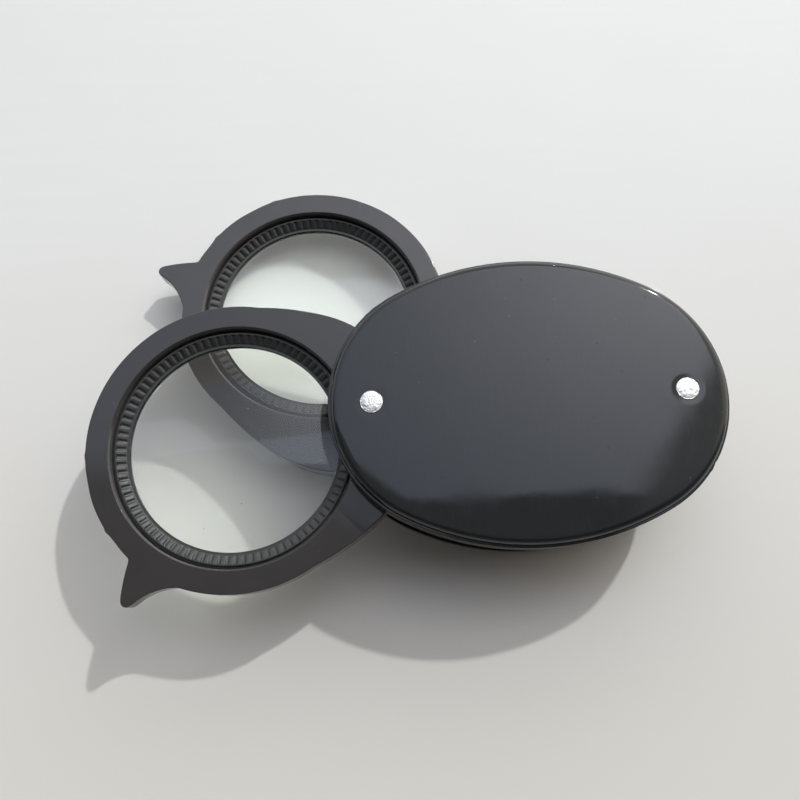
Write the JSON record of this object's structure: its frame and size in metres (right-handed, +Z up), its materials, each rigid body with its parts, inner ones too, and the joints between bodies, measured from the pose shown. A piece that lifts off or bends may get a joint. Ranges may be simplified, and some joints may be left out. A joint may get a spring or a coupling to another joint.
{
  "type": "folding pocket magnifier",
  "caption": "Folding pocket magnifier: two lenses in ring frames with thumb tabs that swing out from between two oval covers on a shared pivot rivet.",
  "frame": {"origin": "middle of the oval case, on the surface that it stands on", "axes": "+X along the case from the pivot rivet to the rear rivet, +Y across it towards the lower lens, +Z up through the covers"},
  "size_m": [0.1118, 0.0803, 0.0232],
  "materials": {
    "cover_plastic": "black moulded plastic, worn gloss with fine scratches",
    "frame_plastic": "black moulded plastic, satin",
    "ring_plastic": "black moulded plastic, ribbed",
    "rivet_metal": "peened, slightly dull",
    "post_metal": "turned",
    "washer_plastic": "natural nylon",
    "lens": "clear, polished"
  },
  "bodies": {
    "case": {"top_cover": "cover_plastic", "bottom_cover": "cover_plastic", "pivot_rivet": "rivet_metal", "rear_rivet": "rivet_metal", "rear_post": "post_metal", "pivot_spacer": "post_metal", "washer_under_lower_frame": "washer_plastic", "washer_over_lower_frame": "washer_plastic", "washer_under_upper_frame": "washer_plastic", "washer_over_upper_frame": "washer_plastic"},
    "upper_lens_arm": {"upper_lens_frame": "frame_plastic", "upper_lens": "lens", "upper_retaining_ring": "ring_plastic"},
    "lower_lens_arm": {"lower_lens_frame": "frame_plastic", "lower_lens": "lens", "lower_retaining_ring": "ring_plastic"}
  },
  "joints": [
    {"name": "upper_lens_swing", "type": "hinge", "parent": "case", "child": "upper_lens_arm", "pos_m": [-0.0269, 0, 0.0147], "axis": [0, 0, 1], "range_deg": [-191.3, 138.7]},
    {"name": "lower_lens_swing", "type": "hinge", "parent": "case", "child": "lower_lens_arm", "pos_m": [-0.0269, 0, 0.0054], "axis": [0, 0, 1], "range_deg": [-116.1, 213.9]}
  ]
}
